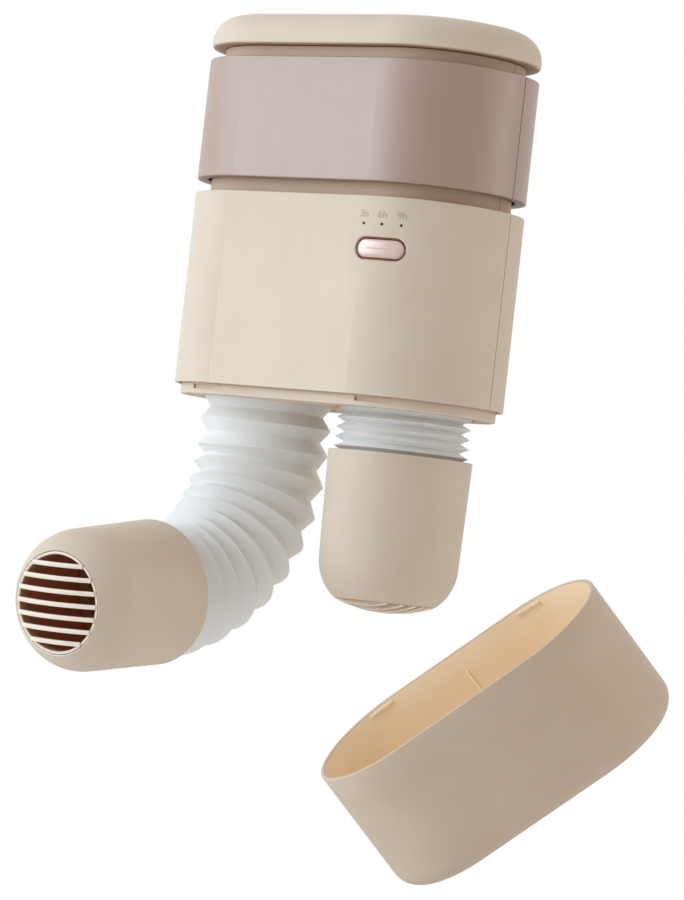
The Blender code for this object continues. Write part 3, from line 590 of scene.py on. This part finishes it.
def controls():
    """The push button, its copper bezel, the three lights and their printed hours."""
    finish_piece(wall_pill("button_fine", BUTTON_LAYERS, ROSE), "button", "button_rose", "button")
    bezel = wall_pill("bezel_fine", BEZEL_LAYERS, COPPER, hollow=True)
    finish_piece(bezel, "body", "bezel_copper", "button_bezel")
    profile = [(0.50 * MM, -5 * MM), (0.50 * MM, -0.30 * MM), (0.40 * MM, -0.20 * MM),
               (0.15 * MM, -0.14 * MM)]
    for hours, degrees in LENS_ANGLES.items():
        angle = math.radians(degrees)
        place = wall_place(angle, LENS_Z)
        lens = turned("lens_fine_" + hours, profile, 20, [SMOKED], place, closed=False)
        finish_piece(lens, "body", "lens_dark", "indicator_lens_" + hours)
        label(hours, angle)


def label(text, angle):
    """Printed hours above a light, wrapped onto the wall as a thin layer of ink."""
    letters = bpy.data.curves.new("label", "FONT")
    letters.body = text
    letters.size = 4.0 * MM
    letters.align_x = "CENTER"
    letters.extrude = 0.012 * MM
    letters.resolution_u = 3
    guide = bpy.data.objects.new("label", letters)
    bpy.context.scene.collection.objects.link(guide)
    bpy.context.view_layer.update()
    graph = bpy.context.evaluated_depsgraph_get()
    mesh = bpy.data.meshes.new_from_object(guide.evaluated_get(graph))
    bpy.data.objects.remove(guide, do_unlink=True)
    shift = (angle - BUTTON_ANGLE) * END_RADIUS
    stretch = 1.05
    proud = 0.022 * MM
    for vertex in mesh.vertices:
        flat = vertex.co.copy()
        vertex.co = wall_point(shift + flat.x * stretch, LABEL_Z + flat.y, proud + flat.z)
    mesh.materials.append(PRINT)
    ink = bpy.data.objects.new("printed_" + text, mesh)
    bpy.context.scene.collection.objects.link(ink)
    finish_piece(ink, "body", "lens_dark")


def gland():
    """The flexible ring at the back where the lead enters."""
    low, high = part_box("cord_gland")
    centre = (low + high) / 2
    profile = [(3.1 * MM, 4 * MM), (5.0 * MM, 4 * MM), (5.0 * MM, 0), (6.2 * MM, -0.2 * MM),
               (6.6 * MM, -0.6 * MM), (6.5 * MM, -1.2 * MM), (5.9 * MM, -1.6 * MM), (4.2 * MM, -1.8 * MM),
               (3.5 * MM, -1.6 * MM), (3.1 * MM, -1.1 * MM)]
    place = Matrix.Translation((centre.x, END_RADIUS, centre.z)) @ Matrix.Rotation(math.pi / 2, 4, "X")
    ring = turned("cord_gland_fine", profile, 48, [RUBBER], place)
    finish_piece(ring, "body", "gland_rubber", "cord_gland")


# ---------------------------------------------------------------- hoses and nozzles
def left_heading(bent):
    """The left hose's direction and its level axis, a length past the start of its bend."""
    angle = bent / LEFT_RADIUS
    yaw = LEFT_YAW + LEFT_END_YAW * max(0.0, bent / LINK_LENGTH - (LINKS - 1))
    ahead = Vector((math.sin(yaw), -math.cos(yaw), 0.0))
    along = ahead * math.sin(angle) + Vector((0.0, 0.0, -math.cos(angle)))
    return along, Vector((-ahead.y, ahead.x, 0.0))


def left_frame(length):
    """Frame on the left hose's centre line, length below z = 0; its -Z runs along the hose."""
    bent = min(max(length - LEFT_STRAIGHT, 0.0), LINKS * LINK_LENGTH)
    centre = Vector((-HOSE_X, 0.0, -min(length, LEFT_STRAIGHT)))
    steps = math.ceil(bent / PATH_STEP)
    for i in range(steps):
        centre += left_heading(bent * (i + 0.5) / steps)[0] * bent / steps
    along, level = left_heading(bent)
    centre += along * max(length - LEFT_ARC_END, 0.0)
    axes = Matrix((level, level.cross(along), -along)).transposed().to_4x4()
    return Matrix.Translation(centre) @ axes


def right_frame(length):
    """Frame on the right hose's straight centre line."""
    return Matrix.Translation((HOSE_X, 0, -length))


def fold_radius(length, pitch, crest_at, top):
    """Radius of the folded wall: flat flanks between a narrow crest bead and a tight valley."""
    swing = abs(((length - crest_at) / pitch + 0.5) % 1.0 - 0.5)
    for (a, high), (b, low) in zip(FOLD, FOLD[1:]):
        if swing <= b:
            share = high + (low - high) * (swing - a) / (b - a)
            return HOSE_VALLEY + (top - HOSE_VALLEY) * share
    return HOSE_VALLEY + (top - HOSE_VALLEY) * FOLD[-1][1]


def hose_piece(name, path, start, end, pitch, crest_at, node, top=HOSE_CREST):
    """One stretch of a folded hose, wall included, following its path."""
    stops = [start]
    first_fold = math.floor((start - crest_at) / pitch) - 1
    last_fold = math.ceil((end - crest_at) / pitch) + 1
    for k in range(first_fold, last_fold + 1):
        for share in FOLD_STOPS:
            length = crest_at + (k + share) * pitch
            if start + 0.03 * MM < length < end - 0.03 * MM:
                stops.append(length)
    stops.append(end)
    work = bmesh.new()
    rings = []
    for inward, order in ((0.0, stops), (HOSE_WALL, list(reversed(stops)))):
        for length in order:
            radius = fold_radius(length, pitch, crest_at, top) - inward
            place = path(length)
            rings.append([place @ point for point in circle(radius, 0.0, HOSE_SIDES)])
    loft(work, rings, closed_ring=True, closed_rings=True)
    # The inside faces take the brown painted shade.
    work.faces.ensure_lookup_table()
    for face in work.faces[len(stops) * HOSE_SIDES:]:
        face.material_index = 1
    obj = made_object(name, work, [HOSE, HOSE_INSIDE_PAINTED_SHADE], angle=60.0)
    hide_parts(node)
    return obj


def blend_along(obj, path, start, end):
    """Fix a hose piece's placement into its mesh; it is not bent or stretched between two bodies."""
    a, b = path(start), path(end)
    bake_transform(obj)


def hoses():
    """Both hoses in stretches between the moving bodies."""
    crest = LEFT_CREST
    top = hose_piece("left_hose_top", left_frame, -HOSE_TOP, LEFT_STRAIGHT, LEFT_PITCH, crest,
                     "left_bellows_top")
    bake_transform(top)
    chain = (("upper", "left_link_1", "left_link_2"), ("middle", "left_link_2", "left_link_3"),
             ("lower", "left_link_3", "left_nozzle"))
    for number, (name, first, second) in enumerate(chain):
        start = LEFT_STRAIGHT + number * LINK_LENGTH
        end = start + LINK_LENGTH
        piece = hose_piece("left_hose_" + name, left_frame, start, end, LEFT_PITCH, crest,
                           "left_bellows_" + name)
        blend_along(piece, left_frame, start, end)
    inside = LEFT_RIM + 9 * MM
    piece = hose_piece("left_hose_end", left_frame, LEFT_ARC_END, inside, LEFT_PITCH, crest,
                       "left_bellows_end")
    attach(piece, "left_nozzle")

    crest = RIGHT_NECK_START + RIGHT_PITCH / 2
    top = hose_piece("right_hose_top", right_frame, -HOSE_TOP, RIGHT_NECK_START, RIGHT_PITCH, crest,
                     "right_bellows_top")
    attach(top, "body")
    neck = hose_piece("right_hose_neck", right_frame, RIGHT_NECK_START, RIGHT_NECK_END, RIGHT_PITCH, crest,
                      "right_bellows_neck")
    blend_along(neck, right_frame, RIGHT_NECK_START, RIGHT_NECK_END)
    lower = hose_piece("right_hose_lower", right_frame, RIGHT_NECK_END, RIGHT_LOWER_END, RIGHT_PITCH, crest,
                       "right_bellows_lower", HIDDEN_CREST)
    blend_along(lower, right_frame, RIGHT_NECK_END, RIGHT_LOWER_END)


def nozzle(side, place):
    """A nozzle's shell: slight taper, wide round end, rounded rim and lip with a painted highlight, inside
    painted brown as painted shade.
    """
    straight = 42.7 * MM
    corner = 20.6 * MM
    end_radius = 28.0 * MM
    rim_radius = 29.0 * MM
    wall = 1.3 * MM
    opening = 20.2 * MM
    centre = end_radius - corner
    rim = 0.45 * MM
    lip = 0.4 * MM
    highlight_bands = 7       # strips from the outside over the lip into the bore, painted paler as a painted highlight
    last = math.degrees(math.acos((opening + 0.75 * lip - centre) / corner))
    profile = [(r, -z) for r, z in arc((rim_radius - rim, rim), rim, 270, 360, 4)]
    profile += [(rim_radius + (end_radius - rim_radius) * k / 6, -straight * k / 6) for k in range(1, 6)]
    profile += [(r, -z) for r, z in arc((centre, straight), corner, 0, last, 16)]
    tip = -profile[-1][1]
    profile += [(r, -z) for r, z in arc((opening + lip, tip - 0.85 * lip), lip, 85, 180, 5)]
    count_outer = len(profile)
    bore = corner - wall
    inner_last = math.degrees(math.acos((opening - centre) / bore))
    profile += [(r, -z) for r, z in arc((centre, straight), bore, inner_last, 0, 10)]
    profile += [(rim_radius - wall, -2 * MM), (rim_radius - wall, -0.3 * MM)]
    # The lip strips take the painted highlight, the bore the brown painted shade.
    indices = [0] * (count_outer - highlight_bands) + [2] * highlight_bands
    indices += [1] * (len(profile) - count_outer - 2) + [0] * 2
    paints = [NOZZLE_CREAM_PAINTED_SHADE, NOZZLE_INSIDE_PAINTED_SHADE, LIP_PAINTED_HIGHLIGHT]
    piece = turned(side + "_nozzle_fine", profile, 128, paints, place, indices=indices)
    finish_piece(piece, side + "_nozzle", "nozzle_cream", side + "_nozzle")


def dome(x, y):
    """How far the grille's bulging front stands from the nozzle's rim at a place on it."""
    return DOME_TOP - DOME_RADIUS + math.sqrt(DOME_RADIUS ** 2 - x * x - y * y)


def grille(side, place):
    """The outlet insert: a flanged ring and seven slats that bulge forwards."""
    outer, inner = 20.0 * MM, 18.8 * MM
    front, back = 58.7 * MM, 54.5 * MM
    flange = 21.2 * MM
    profile = [(outer, -back - 1.2 * MM), (outer, -front + 0.35 * MM), (outer - 0.1 * MM, -front + 0.1 * MM),
               (outer - 0.35 * MM, -front), (inner + 0.3 * MM, -front), (inner, -front + 0.3 * MM),
               (inner, -back), (flange, -back), (flange, -back - 1.2 * MM)]
    # The ring's inner wall and back are painted brown as painted shade.
    indices = [0] * 5 + [1] * 4
    ring = turned(side + "_grille_ring", profile, 96, [GRILLE, NOZZLE_INSIDE_PAINTED_SHADE], place, indices=indices)
    finish_piece(ring, side + "_nozzle", "grille_cream", side + "_outlet_grille")
    work = bmesh.new()
    reach = (outer + inner) / 2
    section = [(-1.0, 0.35), (-0.88, 0.1), (-0.55, 0.0), (0.55, 0.0), (0.88, 0.1), (1.0, 0.35), (0.75, 2.5),
               (-0.75, 2.5)]    # share of the half thickness, millimetres behind the front
    steps = 20
    for k in range(-3, 4):
        y = k * SLAT_PITCH
        half = math.sqrt(reach ** 2 - y ** 2)
        rings = []
        for i in range(steps + 1):
            x = -half + 2 * half * i / steps
            rings.append([Vector((x, y + across * SLAT_HALF, depth * MM - dome(x, y)))
                          for across, depth in section])
        loft(work, rings, closed_ring=True, closed_rings=False, caps=True)
    work.transform(place)
    slats = made_object(side + "_grille_slats", work, [GRILLE])
    finish_piece(slats, side + "_nozzle", "grille_cream")


def collars():
    """The hose and nozzle collars keep their CAD shape; the nozzle collars are painted brown, painted shade
    deep inside the nozzles.
    """
    for side in ("left", "right"):
        repaint(side + "_hose_collar", DUCT)
        repaint(side + "_nozzle_collar", NOZZLE_INSIDE_PAINTED_SHADE)


# ---------------------------------------------------------------- cup cover
def cup():
    """The cover, open at the top: rounded foot, thin pale rim, inside painted lighter and warmer as painted
    bounce light, clip ridges and short ribs.
    """
    wall = CUP_WALL
    foot = CUP_RADIUS
    bottom = -CUP_HEIGHT
    inner_foot = foot - wall
    floor = bottom + wall
    profile = [(wall + 30 * MM, floor), (wall + inner_foot + 4 * MM, floor)]
    profile += arc((wall + inner_foot, floor + inner_foot), inner_foot, 270, 180, 10)
    profile += [(wall, bottom * k / 5) for k in (3, 2, 1)]
    rim = 0.55 * MM
    profile.append((wall, -rim))
    inside_count = len(profile)
    profile += [(wall - 0.15 * MM, -0.2 * MM), (wall - rim, 0.0), (rim, 0.0), (0.15 * MM, -0.2 * MM),
                (0, -rim)]
    profile += [(0, bottom * k / 5) for k in (1, 2, 3)]
    profile += arc((foot, bottom + foot), foot, 180, 270, 12)
    profile += [(foot + 4 * MM, bottom), (foot + 28 * MM, bottom)]
    work = bmesh.new()
    made = loft(work, outline_rings(profile), closed_ring=True, closed_rings=False, caps=True)
    # The inside faces take the lighter, warmer painted light colour.
    inner = {v for ring in made[:inside_count] for v in ring}
    for face in work.faces:
        if all(v in inner for v in face.verts):
            face.material_index = 1
    work.transform(CUP_PLACE)
    shell = made_object("cup_fine", work, [CUP_CREAM_PAINTED_SHADE, CUP_INSIDE_PAINTED_LIGHT])
    finish_piece(shell, "cup", "cup_cream", "cup_cover")

    face = END_RADIUS - wall
    work = curved_bars(CLIP_RIDGES, face - 0.9 * MM, face + 0.6 * MM, -3.1 * MM, -1.6 * MM)
    for side in (-1, 1):
        bar = bmesh.ops.create_cube(work, size=1.0)["verts"]
        bmesh.ops.scale(work, vec=(1.1 * MM, 1.7 * MM, 19.5 * MM), verts=bar)
        bmesh.ops.translate(work, vec=(side * 0.9 * MM, side * face, -20.25 * MM), verts=bar)
    work.transform(CUP_PLACE)
    # The ribs take the cup's lighter inside colour, painted bounce light.
    ribs = made_object("cup_clip_ridges", work, [CUP_INSIDE_PAINTED_LIGHT])
    bevelled(ribs, 0.35 * MM)
    finish_piece(ribs, "cup", "cup_cream")


# ---------------------------------------------------------------- works kept from the CAD
def repaint(name, paint):
    """Give a kept CAD node a better material."""
    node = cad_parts[name]
    node.data.materials.clear()
    node.data.materials.append(paint)


def works():
    """Materials of the pieces inside the body, which keep their CAD shape."""
    paints = {"control_board": BOARD, "power_board": BOARD, "push_switch": BLACK, "air_duct": DUCT,
              "heater_frame": MICA, "heater_core": ALUMINIUM, "thermal_cutout": STEEL,
              "fan_housing": BLACK, "motor": STEEL, "impeller": GREY}
    for name, paint in paints.items():
        repaint(name, paint)
    collars()


# ---------------------------------------------------------------- studio
FLOOR_RADIUS = 3.0
FLOOR_Z = -0.5
DAYLIGHT = (0.77, 0.885, 1.0)


def area_light(name, place, target, size, power, colour=(1, 1, 1)):
    """A rectangular soft light aimed at a point."""
    data = bpy.data.lights.new(name, "AREA")
    data.shape = "RECTANGLE"
    data.size, data.size_y = size
    data.energy = power
    data.color = colour
    lamp = bpy.data.objects.new(name, data)
    bpy.context.scene.collection.objects.link(lamp)
    lamp.location = place
    lamp.rotation_mode = "QUATERNION"
    lamp.rotation_quaternion = (Vector(target) - Vector(place)).to_track_quat("-Z", "Y")
    return lamp


def studio():
    """Pale floor, surroundings that look white and fill the shade warmly, and soft lights."""
    work = bmesh.new()
    bmesh.ops.create_circle(work, cap_ends=True, segments=96, radius=FLOOR_RADIUS)
    bmesh.ops.translate(work, vec=(0, 0, FLOOR_Z), verts=work.verts)
    pale = moulded("pale_floor", srgb(246, 245, 243), rough=0.7, grain=300, depth=0.02, painted_shade=0.0, edge=0.0)
    floor = made_object("floor", work, [pale])
    world = bpy.data.worlds.new("studio")
    world.use_nodes = True
    tree = world.node_tree
    fill = tree.nodes["Background"]
    fill.inputs["Color"].default_value = (1.0, 0.90, 0.82, 1.0)
    fill.inputs["Strength"].default_value = 0.44
    white = tree.nodes.new("ShaderNodeBackground")
    white.inputs["Color"].default_value = (1, 1, 1, 1)
    white.inputs["Strength"].default_value = 1.0
    path = tree.nodes.new("ShaderNodeLightPath")
    either = tree.nodes.new("ShaderNodeMath")
    either.operation = "MAXIMUM"
    choose = tree.nodes.new("ShaderNodeMixShader")
    tree.links.new(path.outputs["Is Camera Ray"], either.inputs[0])
    tree.links.new(path.outputs["Is Glossy Ray"], either.inputs[1])
    tree.links.new(either.outputs[0], choose.inputs["Fac"])
    tree.links.new(fill.outputs[0], choose.inputs[1])
    tree.links.new(white.outputs[0], choose.inputs[2])
    tree.links.new(choose.outputs[0], tree.nodes["World Output"].inputs["Surface"])
    bpy.context.scene.world = world
    middle = (0, 0, 0)
    area_light("key", (-0.90, -1.20, 0.38), middle, (1.1, 1.0), 8.5, DAYLIGHT)
    area_light("wide_key", (-0.92, -1.24, 0.38), middle, (2.0, 1.3), 9.6, DAYLIGHT)
    area_light("left", (-1.45, -0.30, 0.35), middle, (0.9, 1.1), 1.5, (0.95, 0.97, 1.0))
    below = area_light("below", (0.3, -0.5, -0.47), middle, (1.3, 1.3), 0.6, (1.0, 0.94, 0.88))
    below.visible_camera = False
    area_light("rim", (1.3, 0.75, 0.2), middle, (0.5, 1.2), 4.0, (1.0, 0.98, 0.96))
    area_light("top", (-0.2, 0.1, 1.6), middle, (1.0, 1.0), 4.0, (1.0, 0.99, 0.98))


def camera():
    """The camera at the photograph's angle: from the right front, a little below, tilted."""
    azimuth, elevation, roll = (math.radians(a) for a in (37.16, -1.79, 6.36))
    distance = 1.6094
    target = Vector((3.1, 3.2, -20.7)) * MM
    back = Vector((math.sin(azimuth) * math.cos(elevation), -math.cos(azimuth) * math.cos(elevation),
                   math.sin(elevation)))
    right = Vector((math.cos(azimuth), math.sin(azimuth), 0))
    up = back.cross(right)
    rolled_right = right * math.cos(roll) + up * math.sin(roll)
    rolled_up = up * math.cos(roll) - right * math.sin(roll)
    data = bpy.data.cameras.new("camera")
    data.sensor_width = 36.0
    data.lens = 159.0
    data.clip_start = 0.05
    data.clip_end = 50.0
    eye = bpy.data.objects.new("camera", data)
    turn = Matrix((rolled_right, rolled_up, back)).transposed().to_4x4()
    eye.matrix_world = Matrix.Translation(target + back * distance) @ turn
    bpy.context.scene.collection.objects.link(eye)
    bpy.context.scene.camera = eye
    bpy.context.scene.view_settings.view_transform = "Standard"


camera()
shells()
bands()
cap()
plate()
controls()
gland()
hoses()
for side, place in (("left", left_frame(LEFT_RIM)), ("right", right_frame(RIGHT_RIM))):
    nozzle(side, place)
    grille(side, place)
cup()
works()
studio()
